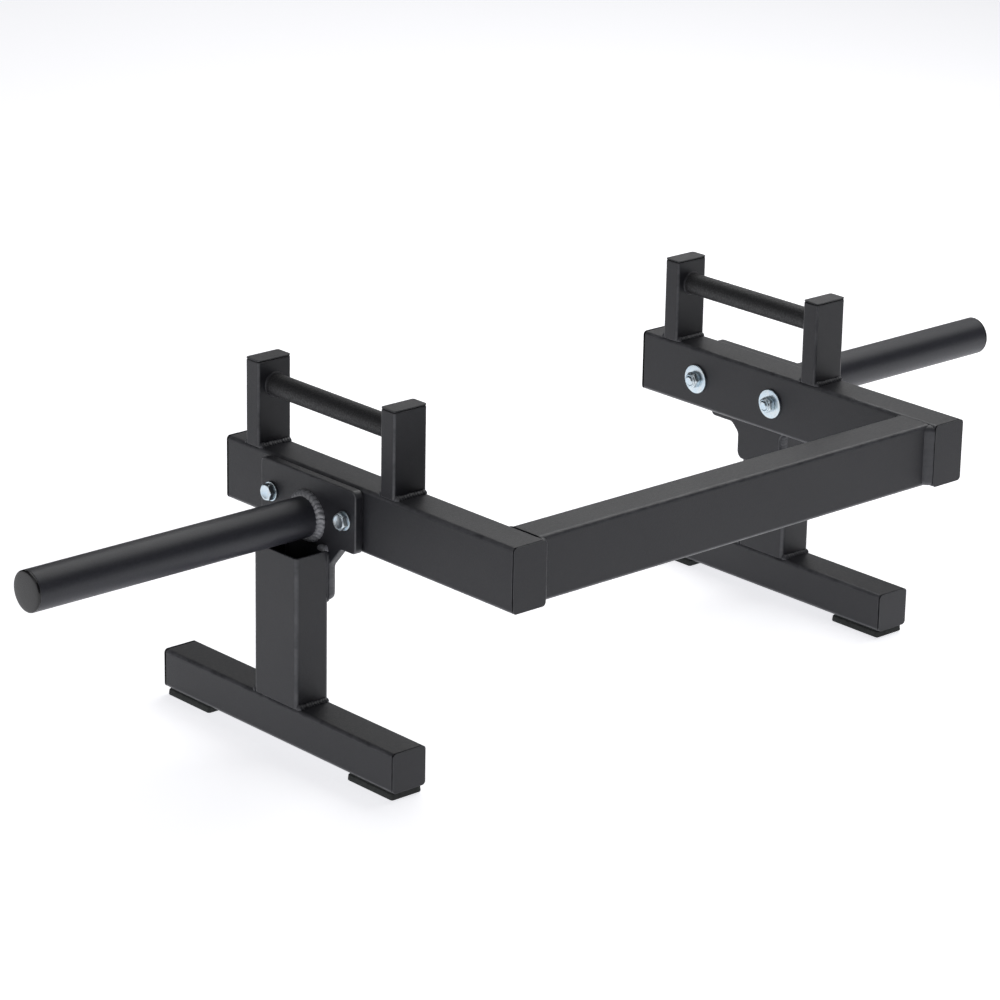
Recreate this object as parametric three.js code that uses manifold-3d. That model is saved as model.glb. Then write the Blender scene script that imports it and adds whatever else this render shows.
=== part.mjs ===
// Open lifting frame with two parallel hand grips, plate pegs and two bolted stands.
// Millimetres. X runs along the crossbar, Y towards the open end, Z up.
// Origin: on the floor under the middle of the object. The design itself is laid out from the
// pegs' common axis at y = 0, and PEG_AXIS_Y then carries that axis to its place.
import * as THREE from "three";
import { mergeVertices } from "three/addons/utils/BufferGeometryUtils.js";
import Module from "manifold-3d";

const wasm = await Module();
wasm.setup();

// Frame: two side rails and the front crossbar, all one rectangular tube.
const RAIL_X = 350;
const RAIL_W = 50;
const RAIL_H = 80;
const RAIL_TOP = 337;
const RAIL_FRONT = -351;
const RAIL_REAR = 170;
const TUBE_WALL = 3;
const TUBE_CORNER = 5;
const END_CAP = 3;
const CROSSBAR_SETBACK = 11;
const CROSSBAR_DEPTH = 50;

// Grips and the posts that hold them.
const POST_Y = [-130, 120];
const POST_W = 50;
const POST_T = 25;
const POST_WALL = 2.5;
const POST_CORNER = 3;
const POST_TOP = 446;
const POST_CAP = 3;
const GRIP_R = 14;
const GRIP_WALL = 3;
const GRIP_Z = 412.5;

// Stand: bracket plate, plate peg, leg and foot.
const PLATE_T = 12;
const PLATE_HALF = 88;
const PLATE_TOP = 335;
const PLATE_FRONT_SHOULDER = 257;
const PLATE_FRONT_SLOPE = [24, 28];
const PLATE_REAR_SHOULDER = 231;
const PLATE_REAR_SLOPE = [12, 12];
const PLATE_TAB_HALF = 38;
const PLATE_BOTTOM = 184;
const PLATE_CORNER = 9;
const PEG_R = 25;
const PEG_WALL = 3;
const PEG_Z = 283;
const PEG_END = 790;
const LEG_DEPTH = 80;
const LEG_W = 50;
const LEG_TOP = 250;
const FOOT_W = 50;
const FOOT_H = 50;
const FOOT_HALF = 218;
const PAD_H = 10;
const PAD_W = 46;
const PAD_L = 82;
const PAD_CORNER = 3;
const PAD_Y = [-173, 173];

// M12 fasteners.
const BOLT_Y = [-68, 68];
const BOLT_Z = 295.5;
const BOLT_R = 6;
const HOLE_R = 6.5;
const BOLT_LENGTH = 79.5;
const HEAD_FLATS = 19;
const HEAD_H = 7.5;
const HEAD_WASHER_R = 12;
const HEAD_WASHER_T = 2.5;
const NUT_WASHER_R = 19;
const NUT_WASHER_T = 3;
const NUT_H = 8;
const NUT_COLLAR_R = 8.4;
const NUT_COLLAR_H = 2;
const NUT_BORE_R = 6.3;

const PEG_AXIS_Y = -(RAIL_FRONT + FOOT_HALF) / 2;
const RAIL_OUTER = RAIL_X + RAIL_W / 2;
const RAIL_INNER = RAIL_X - RAIL_W / 2;
const PLATE_OUTER = RAIL_OUTER + PLATE_T;
const STAND_X = PLATE_OUTER + LEG_W / 2;

const paint = (name, color, roughness) =>
  new THREE.MeshStandardMaterial({ name, color, roughness, metalness: 0.15 });
const MATERIALS = {
  powder_coat: () => paint("powder_coat", 0x414144, 0.62),
  grip_coat: () => paint("grip_coat", 0x303033, 0.7),
  end_cap_plastic: () => paint("end_cap_plastic", 0x101012, 0.25),
  foot_rubber: () => paint("foot_rubber", 0x2b2d2c, 0.9),
  zinc_steel: () =>
    new THREE.MeshStandardMaterial({
      name: "zinc_steel",
      color: 0xc9d1d3,
      roughness: 0.3,
      metalness: 0.95,
    }),
};

const part = new THREE.Group();
part.name = "parallel_grip_frame";
part.position.y = PEG_AXIS_Y;

// Turns a geometry's own Z into the named axis.
function along(geometry, axis) {
  const turns = {
    x: [new THREE.Vector3(0, 1, 0), new THREE.Vector3(0, 0, 1), new THREE.Vector3(1, 0, 0)],
    y: [new THREE.Vector3(0, 0, 1), new THREE.Vector3(1, 0, 0), new THREE.Vector3(0, 1, 0)],
  };
  if (turns[axis]) geometry.applyMatrix4(new THREE.Matrix4().makeBasis(...turns[axis]));
  return geometry;
}

// Welds the corners of a geometry together and drops its collapsed triangles.
function clean(geometry) {
  const bare = geometry.clone();
  bare.deleteAttribute("normal");
  bare.deleteAttribute("uv");
  const merged = mergeVertices(bare, 1e-4);
  const kept = [];
  const index = merged.index.array;
  for (let i = 0; i < index.length; i += 3) {
    const [a, b, c] = [index[i], index[i + 1], index[i + 2]];
    if (a !== b && b !== c && c !== a) kept.push(a, b, c);
  }
  merged.setIndex(kept);
  return merged;
}

function toSolid(geometry) {
  const g = clean(geometry);
  return new wasm.Manifold(
    new wasm.Mesh({
      numProp: 3,
      vertProperties: new Float32Array(g.attributes.position.array),
      triVerts: new Uint32Array(g.index.array),
    }),
  );
}

function toGeometry(solid) {
  const mesh = solid.getMesh();
  const g = new THREE.BufferGeometry();
  g.setAttribute("position", new THREE.BufferAttribute(mesh.vertProperties, 3));
  g.setIndex(new THREE.BufferAttribute(mesh.triVerts, 1));
  const flat = g.toNonIndexed();
  flat.computeVertexNormals();
  return flat;
}

function add(name, geometry, material, x = 0, y = 0, z = 0) {
  const mesh = new THREE.Mesh(geometry, MATERIALS[material]());
  mesh.name = name;
  mesh.position.set(x, y, z);
  part.add(mesh);
}

// A rectangle with rounded corners, centred on the origin.
function roundedRect(w, h, r, Kind = THREE.Shape) {
  const [a, b] = [w / 2 - r, h / 2 - r];
  const s = new Kind();
  s.moveTo(-a, -h / 2);
  s.lineTo(a, -h / 2);
  s.absarc(a, -b, r, -Math.PI / 2, 0);
  s.lineTo(w / 2, b);
  s.absarc(a, b, r, 0, Math.PI / 2);
  s.lineTo(-a, h / 2);
  s.absarc(-a, b, r, Math.PI / 2, Math.PI);
  s.lineTo(-w / 2, -b);
  s.absarc(-a, -b, r, Math.PI, 1.5 * Math.PI);
  return s;
}

// Extrudes a shape along Z; each arc of its outline gets twice this many segments.
const extrude = (shape, depth, curveSegments = 3) =>
  new THREE.ExtrudeGeometry(shape, { depth, curveSegments, bevelEnabled: false });

// Rectangular tube of length l; its section is w by h before it is turned to the axis.
function boxTube(w, h, l, wall, corner, axis) {
  const section = roundedRect(w, h, corner);
  section.holes.push(roundedRect(w - 2 * wall, h - 2 * wall, corner - wall + 0.5, THREE.Path));
  return along(extrude(section, l), axis);
}

const boxBar = (w, h, l, corner, axis) => along(extrude(roundedRect(w, h, corner), l), axis);

// Round tube, or a washer when it is short.
function ring(outer, inner, length, axis, segments = 24) {
  const section = new THREE.Shape().absarc(0, 0, outer, 0, 2 * Math.PI);
  section.holes.push(new THREE.Path().absarc(0, 0, inner, 0, 2 * Math.PI));
  return along(extrude(section, length, segments), axis);
}

// Solid turned about its own Z from a list of [radius, height] corners, lowest first.
function turned(corners, axis, segments = 32) {
  const points = corners.map(([r, h]) => new THREE.Vector2(r, h));
  const g = new THREE.LatheGeometry(points, segments);
  g.rotateX(Math.PI / 2);
  return along(clean(g), axis);
}

// Hexagonal prism with the far corners of its faces turned off by a 30 degree chamfer.
function hexagon(flats, height, bothEnds) {
  const corner = flats / Math.sqrt(3);
  const hex = new THREE.CylinderGeometry(corner, corner, height, 6);
  hex.rotateX(Math.PI / 2);
  hex.translate(0, 0, height / 2);
  const face = flats * 0.475;
  const drop = (corner + 0.2 - face) * Math.tan(Math.PI / 6);
  const low = bothEnds ? [[0, 0], [face, 0], [corner + 0.2, drop]] : [[0, 0], [corner + 0.2, 0]];
  const blank = turned([...low, [corner + 0.2, height - drop], [face, height], [0, height]], "z");
  return toSolid(hex).intersect(toSolid(blank));
}

// Bolt: the head stands on +X from the origin and the shank runs back along -X.
function boltGeometry() {
  const grip = BOLT_LENGTH;
  const shank = turned(
    [[0, -grip], [BOLT_R - 1.2, -grip], [BOLT_R, -grip + 1.2], [BOLT_R, 1], [0, 1]],
    "z",
  );
  const solid = hexagon(HEAD_FLATS, HEAD_H, false).add(toSolid(shank));
  return along(toGeometry(solid), "x");
}

// Lock nut: hexagon with a round collar on top, bored through; it stands on +X.
function nutGeometry() {
  const top = NUT_H + NUT_COLLAR_H;
  const collar = turned(
    [[0, NUT_H - 2], [NUT_COLLAR_R, NUT_H - 2], [NUT_COLLAR_R, top - 0.8],
      [NUT_COLLAR_R - 0.8, top], [0, top]],
    "z",
  );
  const bore = turned([[0, -1], [NUT_BORE_R, -1], [NUT_BORE_R, top + 1], [0, top + 1]], "z");
  const solid = hexagon(HEAD_FLATS, NUT_H, true).add(toSolid(collar)).subtract(toSolid(bore));
  return along(toGeometry(solid), "x");
}

// Side rail with the bolt holes drilled through both walls.
function railGeometry() {
  const length = RAIL_REAR - RAIL_FRONT - 2 * END_CAP;
  let solid = toSolid(boxTube(RAIL_H, RAIL_W, length, TUBE_WALL, TUBE_CORNER, "y"));
  for (const y of BOLT_Y) {
    const drill = turned(
      [[0, -RAIL_W], [HOLE_R, -RAIL_W], [HOLE_R, RAIL_W], [0, RAIL_W]],
      "x",
      24,
    );
    drill.translate(0, y - RAIL_FRONT - END_CAP, BOLT_Z - (RAIL_TOP - RAIL_H / 2));
    solid = solid.subtract(toSolid(drill));
  }
  return toGeometry(solid);
}

// One end of the bracket plate's outline, from the top down: [y, z, corner size] of each corner.
// A shoulder steps in to the tab down a slope that runs [across, down].
const plateEnd = (shoulder, [across, down]) => [
  [PLATE_HALF, PLATE_TOP, PLATE_CORNER],
  [PLATE_HALF, shoulder, 7],
  [PLATE_TAB_HALF + across, shoulder, 4],
  [PLATE_TAB_HALF, shoulder - down, 4],
  [PLATE_TAB_HALF, PLATE_BOTTOM, 12],
];

// Bracket plate: wide above, tapering to a tab behind the leg; all its corners are rounded.
function bracketGeometry() {
  const rear = plateEnd(PLATE_REAR_SHOULDER, PLATE_REAR_SLOPE);
  const front = plateEnd(PLATE_FRONT_SHOULDER, PLATE_FRONT_SLOPE).map(([y, z, r]) => [-y, z, r]);
  const corners = [...rear, ...front.reverse()];
  const loop = corners.map(([y, z, r]) => ({ p: new THREE.Vector2(y, z), r }));
  const outline = new THREE.Shape();
  loop.forEach(({ p, r }, i) => {
    const before = loop[(i + loop.length - 1) % loop.length].p;
    const after = loop[(i + 1) % loop.length].p;
    const start = p.clone().add(before.clone().sub(p).setLength(r));
    const end = p.clone().add(after.clone().sub(p).setLength(r));
    if (i === 0) outline.moveTo(start.x, start.y);
    else outline.lineTo(start.x, start.y);
    outline.quadraticCurveTo(p.x, p.y, end.x, end.y);
  });
  for (const y of BOLT_Y) {
    outline.holes.push(new THREE.Path().absarc(y, BOLT_Z, HOLE_R, 0, 2 * Math.PI));
  }
  return along(extrude(outline, PLATE_T, 8), "x");
}

// Domed plastic plug that closes the peg; its rim stands on +X from the origin.
function pegCapGeometry() {
  const plug = PEG_R - PEG_WALL - 0.3;
  return turned(
    [[0, -14], [plug - 1, -14], [plug, -12], [plug, 0], [PEG_R, 0], [PEG_R, 1.2],
      [PEG_R - 1, 2.4], [PEG_R * 0.6, 3.6], [0, 4]],
    "x",
    48,
  );
}

// A piece that points outwards on +X, turned half round for the left side.
function addOutward(name, geometry, material, side, x, y, z) {
  if (side < 0) geometry.rotateZ(Math.PI);
  add(name, geometry, material, side * x, y, z);
}

function addFrame() {
  const crossbar = boxTube(RAIL_H, CROSSBAR_DEPTH, 2 * RAIL_INNER, TUBE_WALL, TUBE_CORNER, "y");
  crossbar.rotateZ(-Math.PI / 2);
  const barY = RAIL_FRONT + CROSSBAR_SETBACK + CROSSBAR_DEPTH / 2;
  add("crossbar", crossbar, "powder_coat", -RAIL_INNER, barY, RAIL_TOP - RAIL_H / 2);
}

function addRail(label, side) {
  const z = RAIL_TOP - RAIL_H / 2;
  add(label + "_rail", railGeometry(), "powder_coat", side * RAIL_X, RAIL_FRONT + END_CAP, z);
  for (const [end, y] of [["front", RAIL_FRONT], ["rear", RAIL_REAR - END_CAP]]) {
    const cap = boxBar(RAIL_H, RAIL_W, END_CAP, TUBE_CORNER, "y");
    add(`${label}_rail_${end}_cap`, cap, "powder_coat", side * RAIL_X, y, z);
  }
}

function addGrip(label, side) {
  ["front", "rear"].forEach((end, i) => {
    const height = POST_TOP - POST_CAP - RAIL_TOP;
    const post = boxTube(POST_W, POST_T, height, POST_WALL, POST_CORNER, "z");
    const cap = boxBar(POST_W, POST_T, POST_CAP, POST_CORNER, "z");
    add(`${label}_${end}_post`, post, "powder_coat", side * RAIL_X, POST_Y[i], RAIL_TOP);
    add(`${label}_${end}_post_cap`, cap, "powder_coat", side * RAIL_X, POST_Y[i], POST_TOP - POST_CAP);
  });
  const length = POST_Y[1] - POST_Y[0] - POST_T;
  const grip = ring(GRIP_R, GRIP_R - GRIP_WALL, length, "y");
  add(`${label}_grip`, grip, "grip_coat", side * RAIL_X, POST_Y[0] + POST_T / 2, GRIP_Z);
}

function addStand(label, side) {
  const plateX = side > 0 ? RAIL_OUTER : -PLATE_OUTER;
  add(`${label}_bracket_plate`, bracketGeometry(), "powder_coat", plateX);
  const peg = ring(PEG_R, PEG_R - PEG_WALL, PEG_END - PLATE_OUTER, "x");
  addOutward(`${label}_peg`, peg, "powder_coat", side, PLATE_OUTER, 0, PEG_Z);
  addOutward(`${label}_peg_cap`, pegCapGeometry(), "end_cap_plastic", side, PEG_END, 0, PEG_Z);
  const legBase = PAD_H + FOOT_H;
  const leg = boxTube(LEG_W, LEG_DEPTH, LEG_TOP - legBase, TUBE_WALL, TUBE_CORNER, "z");
  add(`${label}_leg`, leg, "powder_coat", side * STAND_X, 0, legBase);
  const footZ = PAD_H + FOOT_H / 2;
  const length = 2 * (FOOT_HALF - END_CAP);
  const foot = boxTube(FOOT_H, FOOT_W, length, TUBE_WALL, TUBE_CORNER, "y");
  add(`${label}_foot`, foot, "powder_coat", side * STAND_X, END_CAP - FOOT_HALF, footZ);
  ["front", "rear"].forEach((end, i) => {
    const cap = boxBar(FOOT_H, FOOT_W, END_CAP, TUBE_CORNER, "y");
    const capY = i ? FOOT_HALF - END_CAP : -FOOT_HALF;
    add(`${label}_foot_${end}_cap`, cap, "powder_coat", side * STAND_X, capY, footZ);
    const pad = boxBar(PAD_W, PAD_L, PAD_H, PAD_CORNER, "z");
    add(`${label}_${end}_pad`, pad, "foot_rubber", side * STAND_X, PAD_Y[i], 0);
  });
}

function addFasteners(label, side) {
  ["front", "rear"].forEach((end, i) => {
    const y = BOLT_Y[i];
    const name = `${label}_${end}`;
    const headX = PLATE_OUTER + HEAD_WASHER_T;
    const washer = ring(HEAD_WASHER_R, HOLE_R, HEAD_WASHER_T, "x", 12);
    const wide = ring(NUT_WASHER_R, HOLE_R, NUT_WASHER_T, "x", 16);
    addOutward(`${name}_bolt`, boltGeometry(), "zinc_steel", side, headX, y, BOLT_Z);
    addOutward(`${name}_head_washer`, washer, "zinc_steel", side, PLATE_OUTER, y, BOLT_Z);
    const inner = RAIL_INNER - NUT_WASHER_T;
    addOutward(`${name}_nut_washer`, wide, "zinc_steel", side, inner, y, BOLT_Z);
    const nut = nutGeometry();
    nut.rotateZ(Math.PI);
    addOutward(`${name}_lock_nut`, nut, "zinc_steel", side, inner, y, BOLT_Z);
  });
}

addFrame();
for (const [label, side] of [["left", -1], ["right", 1]]) {
  addRail(label, side);
  addGrip(label, side);
  addStand(label, side);
  addFasteners(label, side);
}

export default part;
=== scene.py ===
"""Parallel bars: finished pieces and finishes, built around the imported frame. Lengths are in metres."""

import math

import bpy
import numpy as np
from mathutils import Matrix, Vector


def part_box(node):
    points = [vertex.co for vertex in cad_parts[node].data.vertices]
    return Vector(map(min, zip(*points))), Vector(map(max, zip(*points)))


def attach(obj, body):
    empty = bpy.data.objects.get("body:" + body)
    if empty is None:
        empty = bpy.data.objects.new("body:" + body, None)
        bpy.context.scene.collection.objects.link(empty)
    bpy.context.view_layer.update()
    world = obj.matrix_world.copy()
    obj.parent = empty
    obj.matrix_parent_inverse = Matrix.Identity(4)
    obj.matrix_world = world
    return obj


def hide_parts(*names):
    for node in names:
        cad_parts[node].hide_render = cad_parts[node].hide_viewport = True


bl_info = {
    "name": "Parallel bars",
    "version": (1, 0, 0),
    "blender": (4, 5, 0),
    "location": "3D View > Sidebar > Parallel bars",
    "description": "Builds the finished pieces of a set of parallel bars around its packed frame",
    "category": "Mesh",
}

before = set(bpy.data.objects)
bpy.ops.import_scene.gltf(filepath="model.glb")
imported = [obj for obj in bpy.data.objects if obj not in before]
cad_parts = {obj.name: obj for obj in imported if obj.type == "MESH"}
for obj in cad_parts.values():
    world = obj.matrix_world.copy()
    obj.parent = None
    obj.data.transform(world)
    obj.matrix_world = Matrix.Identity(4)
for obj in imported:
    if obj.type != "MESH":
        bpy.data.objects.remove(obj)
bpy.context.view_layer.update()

X, Y, Z = range(3)
SIDES = (("left", -1), ("right", 1))
ENDS = (("front", -1), ("rear", 1))
GUARD = 0.0004  # width of the narrow flat strip kept beside every rounded edge
QUARTER = np.linspace(0, math.pi / 2, 5)
SHARP = 38  # degrees between two faces, past which the edge between them is shaded as an edge
BORE_MARGIN = 0.01  # how far a drill runs past each face of the piece
TAB_INSET = 0.002  # how much narrower than the leg the bracket's tab is, at each edge
PLATE_CUTS = (0.012, 0.004, 0.004, 0.007, 0.009)  # corner roundings, from the tab's foot to the top
CHAMFER_ANGLE = math.pi / 6  # slope of the chamfer on bolt heads and nuts
CHAMFER_SHARE = 0.475  # radius where that chamfer starts, as a share of the width across flats
THREAD_LENGTH = 0.036  # threaded end of a bolt
BOLT_RADIUS = 0.006
POINT = 0.0013  # chamfer on a bolt's tip
# Near-black colour painted into the seams between tubes and their caps: painted shade.
SEAM_SHADE_BLACK = (0.001, 0.001, 0.001)


# ---------------------------------------------------------------------------------------------
# Sizes and colours that a user would change
# ---------------------------------------------------------------------------------------------


def length(name, description, default):
    return bpy.props.FloatProperty(
        name=name, description=description, default=default, min=0.0, precision=5,
        subtype="DISTANCE", unit="LENGTH",
    )


def colour(name, description, default):
    return bpy.props.FloatVectorProperty(
        name=name, description=description, default=default, min=0.0, max=1.0, size=3, subtype="COLOR",
    )


class BarsSizes(bpy.types.PropertyGroup):
    """Sizes that finish the pieces; their places come from the frame."""

    tube_wall: length("Tube wall", "Wall of the rail, crossbar, leg and foot tubes", 0.003)
    tube_corner: length("Tube corner", "Outside corner radius of those tubes", 0.005)
    post_wall: length("Post wall", "Wall of the post tubes", 0.0025)
    post_corner: length("Post corner", "Outside corner radius of the post tubes", 0.0032)
    cut_edge: length("Cut edge", "Rounding of a tube's cut end", 0.0008)
    cap_edge: length("Cap edge", "Rounding of an end cap's rim", 0.0006)
    grip_wall: length("Grip wall", "Wall of the grip and peg tubes", 0.003)
    plate_edge: length("Plate edge", "Rounding along the bracket plate's edges", 0.0018)
    front_shoulder: length("Front shoulder", "Height of the bracket's front shoulder over its foot", 0.073)
    rear_shoulder: length("Rear shoulder", "Height of the bracket's rear shoulder over its foot", 0.047)
    front_slope_across: length("Front slope width", "Width of the slope below the front shoulder", 0.024)
    front_slope_down: length("Front slope height", "Height of that slope", 0.028)
    rear_slope_across: length("Rear slope width", "Width of the slope below the rear shoulder", 0.012)
    rear_slope_down: length("Rear slope height", "Height of that slope", 0.012)
    seam_depth: length("Seam depth", "Depth of the seam between a tube and its end cap", 0.0018)
    seam_width: length("Seam width", "Width of that seam at the cap", 0.0021)
    peg_weld: length("Peg weld", "Leg length of the weld ring round a peg", 0.0075)
    grip_weld: length("Grip weld", "Leg length of the weld ring round a grip's end", 0.0020)
    seam_weld: length("Seam weld", "Leg length of the straight welds", 0.0048)
    crossbar_weld: length("Crossbar weld", "Leg length of the smooth welds at the crossbar's front", 0.0099)
    tab_weld: length("Tab weld", "Leg length of the flat welds over the bracket tab's edges", 0.0100)
    groove_weld: length("Groove weld", "Leg length of the welds between a leg and its tab", 0.0056)
    ripple: length("Weld ripple", "Distance from one weld ripple to the next", 0.0040)
    hole_radius: length("Bolt hole", "Radius of the bolt holes", 0.0065)
    thread_pitch: length("Thread pitch", "Pitch of the bolt thread", 0.00175)
    thread_depth: length("Thread depth", "Depth of the bolt thread", 0.00095)
    head_flats: length("Head across flats", "Width of bolt heads and nuts across their flats", 0.019)


class BarsColours(bpy.types.PropertyGroup):
    """Colours of the finishes."""

    powder: colour("Powder coat", "Powder coat on the tubes and plates", (0.0165, 0.0170, 0.0215))
    # Paler colour of the thin coat along edges, which also paints the highlight there.
    powder_worn_and_highlight: colour("Powder coat edge", "Powder coat where it is thin", (0.125, 0.127, 0.137))
    grip: colour("Grip coat", "Textured coat on the grips", (0.019, 0.0193, 0.0212))
    plastic: colour("Cap plastic", "Gloss plastic of the peg caps", (0.008, 0.008, 0.009))
    rubber: colour("Foot rubber", "Rubber of the foot pads", (0.036, 0.039, 0.038))
    zinc: colour("Zinc", "Bright zinc plating of the fasteners", (0.70, 0.76, 0.79))
    floor: colour("Floor", "Pale studio floor", (0.86, 0.86, 0.86))


# ---------------------------------------------------------------------------------------------
# Surfaces
# ---------------------------------------------------------------------------------------------


def corners(node):
    """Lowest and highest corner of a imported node, as arrays."""
    low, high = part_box(node)
    return np.array(low), np.array(high)


def rounded_rectangle(width, height, radius, steps=7):
    """Outline of a rectangle with quarter-circle corners, and how far into a corner each point lies.

    Point = corner centre + radius * (cos, sin) of an angle that turns a quarter for each corner; one
    point on the flat at each end of the arc keeps the flat's shading flat. The second array is 0 on
    the flats and 1 at the middle of a corner.
    """
    turn = np.concatenate([[0], np.linspace(0, 1, steps + 1), [1]])
    slide = np.concatenate([[-GUARD], np.zeros(steps + 1), [GUARD]])
    angle = (np.arange(4)[:, None] + turn) * math.pi / 2
    out = np.stack([np.cos(angle), np.sin(angle)], -1)
    on = np.stack([-np.sin(angle), np.cos(angle)], -1)
    signs = np.array([[1, 1], [-1, 1], [-1, -1], [1, -1]])
    centre = signs * (np.array([width, height]) / 2 - radius)
    points = centre[:, None] + radius * out + slide[:, None] * on
    edge = np.broadcast_to(np.sin(math.pi * turn), angle.shape)
    return points.reshape(-1, 2), edge.reshape(-1)


def circle(radius, count):
    """Outline of a circle: radius * (cos, sin) of equally spaced angles."""
    angle = np.arange(count) * 2 * math.pi / count
    return radius * np.stack([np.cos(angle), np.sin(angle)], -1)


def rounded_polygon(points, cuts, steps=8):
    """Closed outline whose corners are parabolas: each starts and ends its cut length from the corner.

    Point = (1-t)^2 start + 2t(1-t) corner + t^2 end, with one more point on the straight at each end.
    """
    before = np.roll(points, 1, 0) - points
    after = np.roll(points, -1, 0) - points
    before /= np.linalg.norm(before, axis=1)[:, None]
    after /= np.linalg.norm(after, axis=1)[:, None]
    reach = np.asarray(cuts)[:, None]
    t = np.linspace(0, 1, steps + 1)[None, :, None]
    start, end = points + before * reach, points + after * reach
    arc = (1 - t) ** 2 * start[:, None] + 2 * t * (1 - t) * points[:, None] + t**2 * end[:, None]
    first = (start + before * GUARD)[:, None]
    last = (end + after * GUARD)[:, None]
    edge = np.concatenate([[0], np.sin(math.pi * t[0, :, 0]), [0]])
    outline = np.concatenate([first, arc, last], 1).reshape(-1, 2)
    return outline, np.tile(edge, len(points))


def stood(section, along, axis):
    """Rows of a 2-D section, each stood at its place along an axis: the section fills the other two."""
    grid = np.empty(section.shape[:2] + (3,))
    grid[..., axis] = along[:, None] if np.ndim(along) == 1 else along
    grid[..., [i for i in range(3) if i != axis]] = section
    return grid


def skin(grid, wrap=False, edge=None):
    """Closed surface on a grid of points whose columns run round the piece.

    Its rows are joined by four-sided faces. The last row joins the first with wrap, and otherwise a
    flat lid closes each end. The signed volume, a sum of triple products, tells if it is inside out.
    """
    rows, columns = grid.shape[:2]
    points = grid.reshape(-1, 3)
    ring = np.arange(rows * columns).reshape(rows, columns)
    lids = [] if wrap else [ring[0][::-1], ring[-1]]
    if wrap:
        ring = np.vstack([ring, ring[:1]])
    turned = np.roll(ring, -1, axis=1)
    quads = np.stack([ring[:-1], turned[:-1], turned[1:], ring[1:]], -1).reshape(-1, 4)
    at = points - points.mean(0)
    a, b, c, d = (at[quads[:, i]] for i in range(4))
    volume = np.sum(np.cross(a, b) * c) + np.sum(np.cross(a, c) * d)
    for lid in lids:
        rim = at[lid]
        volume += np.sum(np.cross(rim, np.roll(rim, -1, 0)) * rim.mean(0))
    if volume < 0:
        quads = quads[:, ::-1]
        lids = [lid[::-1] for lid in lids]
    marks = np.broadcast_to(0.0 if edge is None else edge, (rows, columns)).reshape(-1)
    return points, quads, lids, marks


def make_object(name, skins):
    """Object of one or more closed surfaces, smooth except where its faces turn sharply."""
    points, faces, marks, base = [], [], [], 0
    for skin_points, quads, lids, skin_marks in skins:
        points.append(skin_points)
        marks.append(skin_marks)
        faces += (quads + base).tolist() + [(lid + base).tolist() for lid in lids]
        base += len(skin_points)
    mesh = bpy.data.meshes.new(name)
    mesh.from_pydata(np.concatenate(points).tolist(), [], faces)
    mesh.attributes.new("edge", "FLOAT", "POINT").data.foreach_set("value", np.concatenate(marks))
    mesh.shade_smooth()
    mesh.set_sharp_from_angle(angle=math.radians(SHARP))
    made = bpy.data.objects.new(name, mesh)
    bpy.context.scene.collection.objects.link(made)
    return made


def settle(made, finish, slot, *nodes):
    """Gives a piece its finish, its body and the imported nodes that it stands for."""
    made.data.materials.clear()
    made.data.materials.append(finish)
    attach(made, "root")
    if nodes:
        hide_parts(*nodes)
    return made


def tube_rows(start, end, wall, lip):
    """Rows of a tube's surface: along the outside, round one cut end, back inside and round the other.

    Gives each row's place along the tube, its share of the way from the outside to the inside, and
    how far it lies into an outer edge's rounding. Each edge is a quarter circle of radius lip.
    """
    share = lip * (1 - np.cos(QUARTER)) / wall
    rise = lip * (np.sin(QUARTER) - 1)
    place = np.concatenate([[-lip - GUARD], rise, rise[::-1], [-lip - GUARD]])
    share = np.concatenate([[0], share, 1 - share[::-1], [1]])
    # These edge marks paint the rim of a cut end paler in the powder coat: thin coat and painted highlight.
    edge = np.concatenate([[0], np.sin(2 * QUARTER), np.zeros(len(QUARTER) + 1)])
    return (
        np.concatenate([end + place, start - place]),
        np.concatenate([share, share[::-1]]),
        np.concatenate([edge, edge[::-1]]),
    )


def tube_skin(outer, inner, centre, axis, rows, edge=0):
    """Tube: the outer outline carried along an axis and, with each row's share, moved to the inner one."""
    along, share, row_edge = rows
    section = centre + outer[None] * (1 - share)[:, None, None] + inner[None] * share[:, None, None]
    marks = np.maximum(row_edge[:, None], np.asarray(edge) * (share < 0.5)[:, None])
    marks = np.broadcast_to(marks, section.shape[:2])
    return skin(stood(section, along, axis), wrap=True, edge=marks)


def box_tube(node, axis, wall, corner, lip):
    """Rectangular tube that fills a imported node's box."""
    low, high = corners(node)
    across = [i for i in range(3) if i != axis]
    width, height = (high - low)[across]
    outer, edge = rounded_rectangle(width, height, corner)
    inner, _ = rounded_rectangle(width - 2 * wall, height - 2 * wall, max(corner - wall, 0.0012))
    centre = ((low + high) / 2)[across]
    return tube_skin(outer, inner, centre, axis, tube_rows(low[axis], high[axis], wall, lip), edge)


def round_tube(node, axis, wall, lip, count=96):
    """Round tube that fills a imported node's box."""
    low, high = corners(node)
    across = [i for i in range(3) if i != axis]
    radius = (high - low)[across][0] / 2
    centre = ((low + high) / 2)[across]
    rows = tube_rows(low[axis], high[axis], wall, lip)
    return tube_skin(circle(radius, count), circle(radius - wall, count), centre, axis, rows)


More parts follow.
